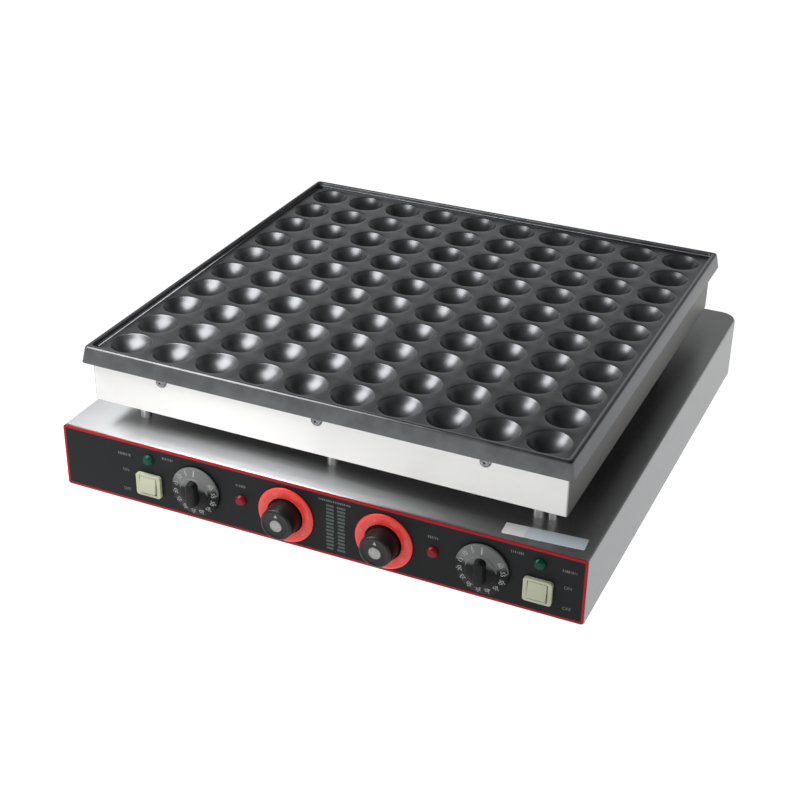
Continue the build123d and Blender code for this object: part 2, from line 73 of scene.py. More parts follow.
def add_node(tree, kind, inputs=None, **settings):
    """Adds one node. Each input gets a value or is joined to another node's output."""
    node = tree.nodes.new(kind)
    for name, value in settings.items():
        setattr(node, name, value)
    for name, value in (inputs or {}).items():
        if isinstance(value, bpy.types.NodeSocket):
            tree.links.new(value, node.inputs[name])
        else:
            node.inputs[name].default_value = value
    return node


def start_material(name, colour, roughness, metallic=0.0, **extra):
    """A material with one shader. Returns the material, its tree and the shader."""
    material = bpy.data.materials.new(name)
    material.use_nodes = True
    tree = material.node_tree
    shader = tree.nodes["Principled BSDF"]
    shader.inputs["Base Color"].default_value = linear(colour)
    shader.inputs["Roughness"].default_value = roughness
    shader.inputs["Metallic"].default_value = metallic
    for socket, value in extra.items():
        shader.inputs[socket.replace("_", " ")].default_value = value
    return material, tree, shader


print("a millimetre is", MM, "of Blender's units")

# %% [markdown]
# A finish is made of a few steps that keep coming back: arithmetic, a mix of two colours, a change of range,
# a ramp, and a noise in real millimetres that drives gloss, colour and bump. Each is one function.

# %% Steps of a finish
NOISE_RANGE = (0.3, 0.7)
BLEND_STOPS = (0.35, 0.65)


def calculate(tree, operation, *given):
    """One step of arithmetic on numbers or on other nodes' outputs."""
    return add_node(tree, "ShaderNodeMath", dict(enumerate(given)), operation=operation).outputs[0]


def parts_of(tree, kind, output):
    """The X, Y and Z of a vector that one kind of node gives."""
    source = add_node(tree, kind)
    return add_node(tree, "ShaderNodeSeparateXYZ", {"Vector": source.outputs[output]}).outputs


def mixed(tree, factor, first, second):
    """Two colours mixed by a factor. The first is a hex code or another node's output."""
    start = linear(first) if isinstance(first, str) else first
    mix = add_node(
        tree, "ShaderNodeMix", {"Factor": factor, "A": start, "B": linear(second)}, data_type="RGBA"
    )
    return mix.outputs["Result"]


def ranged(tree, source, start, end, low, high, curve="LINEAR"):
    """Carries the range from start to end over to the range from low to high."""
    return add_node(tree, "ShaderNodeMapRange", {
        "Value": source, "From Min": start, "From Max": end, "To Min": low, "To Max": high,
    }, interpolation_type=curve).outputs["Result"]


def ramped(tree, source, stops):
    """A ramp through stops, each given as (position, linear colour)."""
    node = add_node(tree, "ShaderNodeValToRGB", {"Fac": source})
    elements = node.color_ramp.elements
    stops = list(stops)
    while len(elements) < len(stops):
        elements.new(1.0)
    for element, (position, colour) in zip(elements, stops):
        element.position = position
        element.color = colour
    return node.outputs["Color"]


def grain(tree, per_mm, stretch=(1, 1, 1), detail=3.0):
    """Noise in real millimetres. per_mm is how many grains lie on a millimetre along an unstretched axis."""
    place = add_node(tree, "ShaderNodeTexCoord")
    scaled = add_node(tree, "ShaderNodeMapping", {
        "Vector": place.outputs["Object"], "Scale": tuple(per_mm * s / MM for s in stretch),
    })
    return add_node(tree, "ShaderNodeTexNoise", {
        "Vector": scaled.outputs["Vector"], "Scale": 1.0, "Detail": detail,
    }).outputs["Fac"]


def feed(shader, socket, output):
    """Joins an output to a shader's input."""
    shader.id_data.links.new(output, shader.inputs[socket])


def vary(shader, noise, low, high):
    """Lets a noise move a shader's roughness between two values."""
    feed(shader, "Roughness", ranged(shader.id_data, noise, *NOISE_RANGE, low, high))


def blend_colours(shader, noise, dark, light):
    """Lets a noise mix a shader's colour from two."""
    feed(shader, "Base Color", ramped(shader.id_data, noise, zip(BLEND_STOPS, map(linear, (dark, light)))))


def emboss(shader, noise, depth_mm, strength):
    """Bump of a real depth in millimetres."""
    bump = add_node(shader.id_data, "ShaderNodeBump", {
        "Height": noise, "Strength": strength, "Distance": depth_mm * MM,
    })
    feed(shader, "Normal", bump.outputs["Normal"])


print("steps ready")

# %% [markdown]
# ## Brushed stainless sheet
# The base and the head's casing are ferritic stainless sheet with a brushed finish. Brushing leaves fine
# parallel scratches that stretch reflections across their run. A true scratch is a few hundredths of a
# millimetre, too fine to show at this distance, so it is drawn about ten times coarser. Brushing follows a
# panel's length, so a face that looks sideways is brushed along Y and the rest along X. Faces at the ends
# are painted darker than the long ones, as painted shade, and the casing's ends and underside are painted
# darker still, also painted shade. The posts and the wire conduit are turned tube, which is smoother and
# brighter.

# %% Brushed stainless
SCRATCHES_PER_MM = 2.2
SCRATCH_STRETCH = 0.012
SCRATCH_DEPTH = 0.01
LOOKING_DOWN = -0.5


def brushed_stainless(name, colour, roughness, ends=None, underside=None):
    """Metal brushed along X, or along Y where it faces sideways. The scratches stretch a reflection across
    their own run. The faces at the ends and those that look down can be painted darker, as painted shade."""
    material, tree, shader = start_material(
        name, colour, roughness, 1.0, Anisotropic=0.92, Anisotropic_Rotation=0.25
    )
    normal = parts_of(tree, "ShaderNodeNewGeometry", "Normal")
    sideways = calculate(tree, "ABSOLUTE", normal["X"])
    lengthways = calculate(tree, "SUBTRACT", 1.0, sideways)
    run = add_node(tree, "ShaderNodeCombineXYZ", {"X": lengthways, "Y": sideways})
    feed(shader, "Tangent", run.outputs["Vector"])
    scratches = add_node(tree, "ShaderNodeMix", {
        "Factor": sideways,
        "A": grain(tree, SCRATCHES_PER_MM, (SCRATCH_STRETCH, 1, 1), 2.0),
        "B": grain(tree, SCRATCHES_PER_MM, (1, SCRATCH_STRETCH, 1), 2.0),
    }).outputs["Result"]
    vary(shader, scratches, roughness - 0.03, roughness + 0.04)
    emboss(shader, scratches, SCRATCH_DEPTH, 0.2)
    # The colours for the ends and the underside are painted shade, mixed over the sheet's own colour.
    tint_with_painted_shade = colour
    if underside:
        down = calculate(tree, "LESS_THAN", normal["Z"], LOOKING_DOWN)
        tint_with_painted_shade = mixed(tree, down, tint_with_painted_shade, underside)
    if ends:
        tint_with_painted_shade = mixed(tree, sideways, tint_with_painted_shade, ends)
    if tint_with_painted_shade is not colour:
        feed(shader, "Base Color", tint_with_painted_shade)
    return material


# Both sheets have painted shade on their ends, and the casing is also painted dark underneath as painted
# shade.
stainless = brushed_stainless("brushed stainless sheet", "#C6C7C8", 0.39, ends="#A9AAAB")
shaded_stainless = brushed_stainless(
    "stainless sheet with painted shade", "#E2E2E1", 0.36, ends="#4E4D4B", underside="#33302D"
)
bright_stainless = brushed_stainless("turned stainless tube", "#EDEDEC", 0.3)
print(stainless.name, "and", shaded_stainless.name, "and", bright_stainless.name)

# %% [markdown]
# ## Cast cooking plate
# The plate is cast aluminium, machined, then hard-coated to a dark grey. The coat keeps a metal's sheen:
# it mirrors bright things softly and stays dark elsewhere. That is why every bowl shows one bright spot.
# Casting leaves a faint unevenness, some 15 mm wide, and the coat one finer than a millimetre.

# %% Hard-coated cast aluminium
def coated_casting():
    """A dark metal whose colour and gloss wander in wide clouds, under a fine skin."""
    material, tree, shader = start_material("hard-coated cast aluminium", "#606163", 0.36, 1.0)
    cloud = grain(tree, 0.06)
    blend_colours(shader, cloud, "#5A5B5D", "#666769")
    vary(shader, cloud, 0.33, 0.40)
    emboss(shader, grain(tree, 1.6, detail=5.0), 0.03, 0.3)
    return material


casting_coat = coated_casting()
print(casting_coat.name)

# %% [markdown]
# ## Control panel
# The panel is a steel strip, powder coated black, with a red line printed round its edge. The line is part
# of the finish, so it is drawn by distance from the panel's edges and not as a separate piece.

# %% Black powder coat with its red line
LINE_WIDTH = 2.6
PANEL_BLACK = "#131416"


def panel_coat():
    """Black with a powder coat's orange peel, and red where the panel's edge is near."""
    material, tree, shader = start_material("black powder coat", PANEL_BLACK, 0.5, Specular_IOR_Level=0.16)
    low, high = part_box("control_panel")
    middle, half = (low + high) / 2, (high - low) / 2
    place = parts_of(tree, "ShaderNodeTexCoord", "Object")
    masks = []
    for axis, centre, reach in (("X", middle.x, half.x), ("Z", middle.z, half.z)):
        distance = calculate(tree, "ABSOLUTE", calculate(tree, "SUBTRACT", place[axis], centre))
        masks.append(calculate(tree, "GREATER_THAN", distance, reach - LINE_WIDTH * MM))
    feed(shader, "Base Color", mixed(tree, calculate(tree, "MAXIMUM", *masks), PANEL_BLACK, "#98131D"))
    emboss(shader, grain(tree, 0.8), 0.02, 0.4)
    return material


panel_black = panel_coat()
print(panel_black.name)

# %% [markdown]
# ## Plastics and small metals
# Knobs are moulded phenolic, which is black and a little uneven in gloss. The scale rings are glossy ABS,
# the switches cream nylon, and the lamp lenses tinted polycarbonate. Each is one colour with a fine moulded
# skin. The timer dials get a painted sheen, a grey painted reflection over whatever part of them tilts
# upwards. The record names a material slot for every CAD node, so the finishes are kept in one table by slot.

# %% Moulded plastics
SHEEN_FROM = 0.05
SHEEN_FULL = 0.17
DIAL_BLACK = "#0B0C0D"


def moulded(name, colour, roughness, skin_depth=0.01, **extra):
    """A moulded plastic or rubber: one colour, uneven gloss and a fine moulded skin."""
    material, tree, shader = start_material(name, colour, roughness, **extra)
    vary(shader, grain(tree, 0.15), roughness - 0.03, roughness + 0.05)
    emboss(shader, grain(tree, 2.5), skin_depth, 0.3)
    return material


def dial_plastic_with_painted_sheen():
    """Black dial plastic with a painted sheen, a grey painted reflection that grows from one tilt towards the
    sky to another.
    """
    material = moulded("black dial plastic with painted sheen", DIAL_BLACK, 0.36, Specular_IOR_Level=0.12)
    tree = material.node_tree
    normal = parts_of(tree, "ShaderNodeNewGeometry", "Normal")
    # The grey #666967 is a painted sheen, a painted reflection on the faces that tilt towards the sky.
    upward = ranged(tree, normal["Z"], SHEEN_FROM, SHEEN_FULL, 0.0, 1.0, "SMOOTHSTEP")
    feed(tree.nodes["Principled BSDF"], "Base Color", mixed(tree, upward, DIAL_BLACK, "#666967"))
    return material


finishes = {
    "stainless": stainless, "nonstick": casting_coat, "panel_black": panel_black,
    "dial_black": dial_plastic_with_painted_sheen(),
    "knob_black": moulded("black phenolic", "#0C0C0D", 0.4, Specular_IOR_Level=0.35),
    "ring_red": moulded("red ABS", "#D9372E", 0.3),
    "switch_cream": moulded("cream nylon", "#ACAF97", 0.42, Specular_IOR_Level=0.35),
    "lens_green": moulded("green polycarbonate", "#013F30", 0.24, Specular_IOR_Level=0.18),
    "lens_red": moulded("red polycarbonate", "#760F19", 0.24, Specular_IOR_Level=0.2),
    "rubber": moulded("black rubber", "#151515", 0.7, 0.03),
    "nylon": moulded("black glass-filled nylon", "#1B1B1C", 0.5, 0.03),
    "lamp_body": moulded("white lamp body nylon", "#DAD8CE", 0.5),
    "melamine": moulded("cream melamine", "#D2CDBB", 0.4),
}
grip_phenolic = moulded("matt black phenolic", "#080808", 0.5, Specular_IOR_Level=0.22)
white_ink = moulded("white print", "#9A9E9C", 0.55)
grey_ink = moulded("grey print", "#606463", 0.6)
table_ink = moulded("dim grey-green print", "#3E4744", 0.6)
pale_ink = moulded("pale print on red", "#DE6E64", 0.5)
print("materials so far:", len(bpy.data.materials))

# %% [markdown]
# The small metals are zinc-plated steel, galvanised sheet and the heating element's sheath. Each shows a
# soft mottling: plating grows in patches, galvanised sheet in crystals, and a hot sheath turns brown.

# %% Plated and sheathed metals
def mottled_metal(name, dark, light, roughness, grain_mm):
    """A metal whose colour and gloss vary in patches of a real width in millimetres."""
    material, tree, shader = start_material(name, light, roughness, 1.0)
    patches = grain(tree, 1 / grain_mm)
    blend_colours(shader, patches, dark, light)
    vary(shader, patches, roughness - 0.06, roughness + 0.08)
    return material


def pressed_fibre():
    """Ceramic fibre board: matt, off-white, with the fibres' matting in its surface."""
    material, tree, shader = start_material("ceramic fibre board", "#DEDBD0", 0.95)
    matting = grain(tree, 0.9, (1, 0.3, 1), 6.0)
    blend_colours(shader, matting, "#CFCBBE", "#E6E3D9")
    emboss(shader, matting, 0.3, 0.6)
    return material


finishes.update({
    "zinc": mottled_metal("zinc-plated steel", "#AEB3BA", "#CBD0D6", 0.3, 3.0),
    "galvanised": mottled_metal("galvanised sheet", "#9FA4A8", "#C0C5C8", 0.42, 8.0),
    "element_sheath": mottled_metal("heated element sheath", "#4C453D", "#77706A", 0.5, 10.0),
    "copper_bulb": mottled_metal("copper bulb", "#B26A48", "#D18A63", 0.3, 5.0),
    "ceramic_fibre": pressed_fibre(),
})
screw_steel = mottled_metal("screw steel", "#6E7072", "#98999B", 0.3, 2.0)
cap_metal = mottled_metal("satin aluminium cap", "#8A8B89", "#9B9C9A", 0.45, 2.5)
print("finishes by slot:", len(finishes))

# %% [markdown]
# ## Finishes for the CAD pieces that stay
# Most CAD pieces have the right shape already and only need their slot's finish. The casing, the conduit and
# the posts share the base's slot but not its finish.

# %% Dress the CAD pieces
slot_of = {part["node"]: part["material_slot"] for part in frame["record"]["subparts"]}


def finish_for(node):
    """The finish of a CAD node."""
    if node == "head_casing":
        return shaded_stainless
    if node.startswith(("wire_conduit", "post")):
        return bright_stainless
    return finishes[slot_of[node]]


for node, dressed in frame["nodes"].items():
    dressed.data.materials.clear()
    dressed.data.materials.append(finish_for(node))
print("dressed", len(frame["nodes"]), "CAD pieces")

# %% [markdown]
# ## Making and joining pieces
# A new piece is a mesh whose points already stand in place, so its object stays at the origin and patterns
# don't slide. `keep` gives it its finish and its body, and hides the CAD node it stands for.

# %% Making pieces
def as_object(name, mesh):
    """Puts a mesh in the scene at the origin."""
    piece = bpy.data.objects.new(name, mesh)
    bpy.context.scene.collection.objects.link(piece)
    return piece


def from_bmesh(name, shape, outwards=True):
    """Turns an edited mesh into an object, with its faces turned outwards unless it is flat."""
    if outwards:
        bmesh.ops.recalc_face_normals(shape, faces=shape.faces)
    mesh = bpy.data.meshes.new(name)
    shape.to_mesh(mesh)
    shape.free()
    return as_object(name, mesh)


def point(shape, x, y, z):
    """Adds a point given in millimetres."""
    return shape.verts.new((x * MM, y * MM, z * MM))


def joined(shape, first, second):
    """Joins two loops with a band of faces. Either loop can be a single point."""
    count = max(len(first), len(second))
    for n in range(count):
        corners = [loop[turn % len(loop)] for loop, turn in (
            (first, n), (first, (n + 1) % count), (second, (n + 1) % count), (second, n),
        )]
        shape.faces.new(list(dict.fromkeys(corners)))


def evaluated_mesh(piece):
    """A plain mesh of a piece as its modifiers leave it."""
    bpy.context.view_layer.update()
    evaluated = piece.evaluated_get(bpy.context.evaluated_depsgraph_get())
    return bpy.data.meshes.new_from_object(evaluated)


def applied(piece):
    """Applies a piece's modifiers."""
    mesh = evaluated_mesh(piece)
    piece.modifiers.clear()
    piece.data = mesh
    return piece


def smoothed(piece, below):
    """Shades a piece smooth, but for the edges that turn by more than an angle in degrees."""
    piece.data.shade_smooth()
    piece.data.set_sharp_from_angle(angle=math.radians(below))
    return piece


def rounded_edges(piece, radius_mm, segments=3, above=40.0):
    """Rounds a piece's sharp edges, as moulding, pressing and polishing do."""
    bevel = piece.modifiers.new("edge", "BEVEL")
    bevel.width = radius_mm * MM
    bevel.segments = segments
    bevel.limit_method = "ANGLE"
    bevel.angle_limit = math.radians(above)
    bevel.harden_normals = True
    piece.data.shade_smooth()
    return smoothed(applied(piece), 80.0)


def keep(piece, finish, body, replaced=()):
    """Gives a finished piece its finish and its body, and hides what it stands for."""
    piece.data.materials.clear()
    piece.data.materials.append(finish)
    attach(piece, body)
    if replaced:
        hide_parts(*replaced)


def box_middle(node):
    """The middle of a CAD node's box."""
    low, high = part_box(node)
    return (low + high) / 2


print("tools for pieces ready")

# %% [markdown]
# ## The casting
# The plate is a field of ten by ten equal cells with a bowl in each, inside a raised rim. What repeats is
# one cell, so one cell is drawn and Geometry Nodes lays it out: a grid gives the places, an instance goes
# on each, and all are made real. A bowl is part of a sphere whose edge rolls over into the flat, because a
# sharp edge would tear a ball of batter.

# %% One cell of the plate
BOWL_RADIUS = 21.5
BOWL_DEPTH = 13.0
BOWL_EDGE = 1.5
BOWL_PITCH = 50.0
BOWLS_PER_SIDE = 10
CELL_SEGMENTS = 32
sphere_radius = (BOWL_RADIUS ** 2 + BOWL_DEPTH ** 2) / (2 * BOWL_DEPTH)
sphere_centre = sphere_radius - BOWL_DEPTH
edge_reach = math.sqrt((sphere_radius + BOWL_EDGE) ** 2 - (sphere_centre + BOWL_EDGE) ** 2)
edge_angle = math.asin(edge_reach / (sphere_radius + BOWL_EDGE))


def bowl_profile():
    """(radius, height) from the bowl's lowest point to the flat, by angle on the sphere and on its edge."""
    sphere_steps, edge_steps = 8, 4
    points = []
    for step in range(1, sphere_steps + 1):
        angle = edge_angle * step / sphere_steps
        points.append((sphere_radius * math.sin(angle), sphere_centre - sphere_radius * math.cos(angle)))
    for step in range(1, edge_steps + 1):
        angle = edge_angle * (1 - step / edge_steps)
        points.append((edge_reach - BOWL_EDGE * math.sin(angle), BOWL_EDGE * (math.cos(angle) - 1)))
    return points


def bowl_cell():
    """A square cell with a bowl in its middle."""
    shape = bmesh.new()
    turns = [2 * math.pi * n / CELL_SEGMENTS for n in range(CELL_SEGMENTS)]
    rings = [[point(shape, 0, 0, -BOWL_DEPTH)]]
    for r, z in bowl_profile():
        rings.append([point(shape, r * math.cos(a), r * math.sin(a), z) for a in turns])
    square = []
    for a in turns:
        reach = BOWL_PITCH / 2 / max(abs(math.cos(a)), abs(math.sin(a)))
        square.append(point(shape, reach * math.cos(a), reach * math.sin(a), 0))
    for inner, outer in zip(rings, [*rings[1:], square]):
        joined(shape, inner, outer)
    return from_bmesh("cell", shape)


cell = bowl_cell()
print("faces in one cell:", len(cell.data.polygons))

# %% Lay the cells out
SEAM = 0.01


def tree_ends(tree, **inputs):
    """Declares a tree's named inputs and its one output, and returns the sockets of both."""
    tree.interface.new_socket("Geometry", in_out="INPUT", socket_type="NodeSocketGeometry")
    for name, kind in inputs.items():
        tree.interface.new_socket(name, in_out="INPUT", socket_type=f"NodeSocket{kind}")
    tree.interface.new_socket("Geometry", in_out="OUTPUT", socket_type="NodeSocketGeometry")
    given = add_node(tree, "NodeGroupInput").outputs
    return given, add_node(tree, "NodeGroupOutput").inputs["Geometry"]


def paint_last(tree, geometry, given, result):
    """Sets the given finish as a tree's last step."""
    painted = add_node(tree, "GeometryNodeSetMaterial", {
        "Geometry": geometry.outputs["Geometry"], "Material": given["Finish"],
    })
    tree.links.new(painted.outputs["Geometry"], result)


def run_tree(piece, tree, **values):
    """Runs a Geometry Nodes tree on a piece, with its inputs set by identifier, and keeps the mesh."""
    modifier = piece.modifiers.new(tree.name, "NODES")
    modifier.node_group = tree
    names = {i.name: i.identifier for i in tree.interface.items_tree if i.in_out == "INPUT"}
    for name, value in values.items():
        modifier[names[name]] = value
    return applied(piece)


def field_tree():
    """A square field of equal cells, with the seams between them closed."""
    tree = bpy.data.node_groups.new("bowl field", "GeometryNodeTree")
    given, result = tree_ends(tree, Pitch="Float", Count="Int", Finish="Material")
    steps = calculate(tree, "SUBTRACT", given["Count"], 1.0)
    across = calculate(tree, "MULTIPLY", steps, given["Pitch"])
    places = add_node(tree, "GeometryNodeMeshGrid", {
        "Size X": across, "Size Y": across,
        "Vertices X": given["Count"], "Vertices Y": given["Count"],
    })
    laid = add_node(tree, "GeometryNodeInstanceOnPoints", {
        "Points": places.outputs["Mesh"], "Instance": given["Geometry"],
    })
    real = add_node(tree, "GeometryNodeRealizeInstances", {"Geometry": laid.outputs["Instances"]})
    closed = add_node(tree, "GeometryNodeMergeByDistance", {
        "Geometry": real.outputs["Geometry"], "Distance": SEAM * MM,
    })
    paint_last(tree, closed, given, result)
    return tree


field = run_tree(cell, field_tree(), Pitch=BOWL_PITCH * MM, Count=BOWLS_PER_SIDE, Finish=casting_coat)
print("faces in the field:", len(field.data.polygons))

# %% [markdown]
# Round the field come the pan's margin, the rim, the drafted lip that covers the casing, and a skirt that
# drops inside it. They are one cross-section carried round a rectangle, so each corner of the section is a
# loop of points and neighbouring loops are bridged. The field's own border is the innermost loop. Scraping
# and wiping have worn the lip's outer top edge round, which takes five loops.

# %% The rim, lip and skirt
LIP_HEIGHT = 18.0
LIP_DRAFT = 2.8
LIP_CORNER = 4.0
WORN_RADIUS = 2.4
WORN_TURNS = (0, 20, 40, 60, 80)
RIM_WIDTH = 5.5
RIM_HEIGHT = 4.6
PAN_CORNER = 5.0
SKIRT_DEPTH = 16.0
SKIRT_WALL = 8.0
SKIRT_CORNER = 1.0
SHEET = 1.2
CASTING_GAP = 0.4
BOWL_WALL = 8.4
CORNER_STEPS = 6
EDGE_RADIUS = 0.9

rim_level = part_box("cooking_plate")[1].z / MM
pan_level = rim_level - RIM_HEIGHT
lip_level = rim_level - LIP_HEIGHT
web_level = pan_level - BOWL_DEPTH - BOWL_WALL


def inset_box(node, amount):
    """(left, right, front, rear) of a CAD node's box drawn in all round, in millimetres."""
    low, high = (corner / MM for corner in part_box(node))
    return low.x + amount, high.x - amount, low.y + amount, high.y - amount


def rounded_loop(shape, sides, level, corner):
    """A closed loop of points round a rectangle with rounded corners."""
    left, right, front, rear = sides
    centres = (
        (right - corner, rear - corner), (left + corner, rear - corner),
        (left + corner, front + corner), (right - corner, front + corner),
    )
    points = []
    for quarter, (x, y) in enumerate(centres):
        for step in range(CORNER_STEPS + 1):
            angle = math.radians(90 * quarter + 90 * step / CORNER_STEPS)
            points.append(point(shape, x + corner * math.cos(angle), y + corner * math.sin(angle), level))
    return points


def stitched(shape, inner, outer, centre):
    """Joins two loops that differ in their number of points, by going round both in step."""
    def bearing(vert):
        return math.atan2(vert.co.y - centre.y, vert.co.x - centre.x)

    inner, outer = sorted(inner, key=bearing), sorted(outer, key=bearing)
    i = o = 0
    while i < len(inner) or o < len(outer):
        here, there = inner[i % len(inner)], outer[o % len(outer)]
        inner_next = bearing(inner[i + 1]) if i + 1 < len(inner) else math.pi
        outer_next = bearing(outer[o + 1]) if o + 1 < len(outer) else math.pi
        if i < len(inner) and (o >= len(outer) or inner_next <= outer_next):
            shape.faces.new((here, there, inner[(i + 1) % len(inner)]))
            i += 1
        else:
            shape.faces.new((here, there, outer[(o + 1) % len(outer)]))
            o += 1


def casting():
    """The whole casting: field, margin, rim, lip, skirt and web."""
    shape = bmesh.new()
    shape.from_mesh(field.data)
    plate_middle = box_middle("cooking_plate")
    shift = Vector((plate_middle.x, plate_middle.y, pan_level * MM))
    bmesh.ops.translate(shape, verts=shape.verts, vec=shift)
    border = [vert for vert in shape.verts if vert.is_boundary]

    pan = inset_box("cooking_plate", LIP_DRAFT + RIM_WIDTH)
    skirt_outside = inset_box("head_casing", SHEET + CASTING_GAP)
    skirt_inside = inset_box("head_casing", SHEET + CASTING_GAP + SKIRT_WALL)
    worn_edge = []
    for turn in WORN_TURNS:
        angle = math.radians(turn)
        inset = LIP_DRAFT + WORN_RADIUS * (1 - math.sin(angle))
        level = rim_level - WORN_RADIUS * (1 - math.cos(angle))
        worn_edge.append((inset_box("cooking_plate", inset), level, LIP_CORNER))
    section = (
        (pan, pan_level, PAN_CORNER),
        (pan, rim_level, PAN_CORNER),
        *worn_edge,
        (inset_box("cooking_plate", 0), lip_level, LIP_CORNER),
        (skirt_outside, lip_level, SKIRT_CORNER),
        (skirt_outside, lip_level - SKIRT_DEPTH, SKIRT_CORNER),
        (skirt_inside, lip_level - SKIRT_DEPTH, SKIRT_CORNER),
        (skirt_inside, web_level, SKIRT_CORNER),
    )
    loops = [rounded_loop(shape, *corner) for corner in section]
    stitched(shape, border, loops[0], plate_middle)
    for inner, outer in zip(loops, loops[1:]):
        joined(shape, inner, outer)
    shape.faces.new(loops[-1])
    return from_bmesh("casting", shape)


plate = casting()
bpy.data.objects.remove(field)
rounded_edges(plate, EDGE_RADIUS)
keep(plate, casting_coat, "body", ("cooking_plate",))
print("casting faces:", len(plate.data.polygons))

# %% [markdown]
# ## Finer copies of the CAD pieces
# A CAD mesh is a set of loose triangles, so light breaks at each facet of a round wall. A copy whose
# triangles are joined again shades smoothly, and its moulded edges can be rounded. Where nothing is rounded,
# normals are weighted by face area, so that large flat sheets stay flat right up to their bends. The table
# gives an edge radius by how a node's name starts.

# %% Finer copies
WELD = 0.002
FLAT_WITHIN = 0.5
ROCKER_SHARE = 0.95
EDGE_RADII = {
    "base_shell": 0, "head_casing": 0, "wire_conduit": 0, "post": 0, "gland_body": 0.4, "gland_cap": 0.5,
    "bonding_stud": 0.3, "foot": 0.6, "switch_housing": 0.7, "rocker": 0.45, "power_lens": 0.25,
    "heat_lens": 0.25,
}

body_of = {
    node: body for body, nodes in frame["record"]["behaviour"]["bodies"].items() for node in nodes
}


def finer_copy(node, edge_mm):
    """A copy of a CAD node with its triangles joined, its edges rounded and its round walls smooth. A rocker
    also gets narrower about its own middle, which opens the gap to its housing."""
    source = frame["nodes"][node]
    shape = bmesh.new()
    shape.from_mesh(source.data)
    bmesh.ops.transform(shape, matrix=source.matrix_world, verts=shape.verts)
    bmesh.ops.remove_doubles(shape, verts=shape.verts, dist=WELD * MM)
    bmesh.ops.dissolve_limit(
        shape, angle_limit=math.radians(FLAT_WITHIN), verts=shape.verts, edges=shape.edges
    )
    if node.startswith("rocker"):
        own_middle = Matrix.Translation(box_middle(node))
        narrow = own_middle @ Matrix.Diagonal((ROCKER_SHARE, 1, 1, 1)) @ own_middle.inverted()
        bmesh.ops.transform(shape, matrix=narrow, verts=shape.verts)
    piece = from_bmesh(f"{node}_finished", shape)
    if edge_mm:
        rounded_edges(piece, edge_mm)
    else:
        smoothed(piece, 40.0)
        piece.modifiers.new("weighted", "WEIGHTED_NORMAL").keep_sharp = True
        applied(piece)
    keep(piece, finish_for(node), body_of[node], (node,))


copied = [
    (node, edge_mm) for start, edge_mm in EDGE_RADII.items()
    for node in frame["nodes"] if node.startswith(start)
]
for node, edge_mm in copied:
    finer_copy(node, edge_mm)
print("finer copies:", len(copied))

# %% [markdown]
# ## Turned pieces
# Knobs, dials and rings are bodies of revolution about an axis that points out of the panel. Each is a short
# list of (radius, distance out), carried round. A light triangle let into the knob's face is its pointer.

# %% Turning
def turned(name, centre, profile, segments=96):
    """A piece turned about an axis through centre that points to the front, closed at its ends."""
    shape = bmesh.new()
    turns = [2 * math.pi * n / segments for n in range(segments)]
    middle = centre / MM
    rings = [
        [point(shape, middle.x + radius * math.sin(a), middle.y - out, middle.z + radius * math.cos(a))
         for a in (turns if radius else [0])]
        for radius, out in profile
    ]
    if profile[0][0] and profile[-1][0]:
        rings.append(rings[0])
    for first, second in zip(rings, rings[1:]):
        joined(shape, first, second)
    return from_bmesh(name, shape)


panel_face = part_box("control_panel")[0].y
FACING_FRONT = (math.radians(90), 0, 0)
FACING_REAR = (math.radians(-90), 0, 0)


def facing_front(place):
    """Stands a mesh made in the XY plane up at a place, facing the front."""
    return Matrix.Translation(place) @ Matrix.Rotation(FACING_FRONT[0], 4, "X")


def control_axis(node):
    """Where a control's axis meets the panel's face."""
    middle = box_middle(node)
    return Vector((middle.x, panel_face, middle.z))


print("panel face at", round(panel_face / MM, 1), "mm")

# %% Thermostat rings and knobs
RING_THICKNESS = 3.2
RING_BEVEL = 1.4
RING_BAND = 11.0
KNOB_LIFT = 1.0
KNOB_REACH = 22.5
KNOB_FACE = KNOB_REACH - 0.8
KNOB_PROFILE = (
    (0, KNOB_LIFT), (18.0, KNOB_LIFT), (18.0, 2.0), (17.0, 21.0), (15.5, KNOB_REACH),
    (13.8, KNOB_REACH), (13.0, KNOB_FACE), (0, KNOB_FACE),
)
INSERT_BACK = KNOB_REACH - 0.9
INSERT_FACE = KNOB_REACH - 0.5
CAP_DROP = 1.0
CAP_PROFILE = (
    (0, INSERT_BACK), (6.5, INSERT_BACK), (6.5, INSERT_FACE), (5.3, KNOB_REACH - 0.15),
    (4.7, INSERT_FACE), (0, INSERT_FACE),
)
POINTER_CORNERS = ((-1.9, 8.6), (1.9, 8.6), (0.0, 12.4))


def pointer_mark(name, centre):
    """A triangle let into a knob's face, given by its corners across and above the axis."""
    shape = bmesh.new()
    middle = centre / MM
    back, face = (
        [point(shape, middle.x + x, middle.y - out, middle.z + z) for x, z in POINTER_CORNERS]
        for out in (INSERT_BACK, INSERT_FACE)
    )
    shape.faces.new(back)
    shape.faces.new(face)
    joined(shape, back, face)
    return from_bmesh(name, shape)


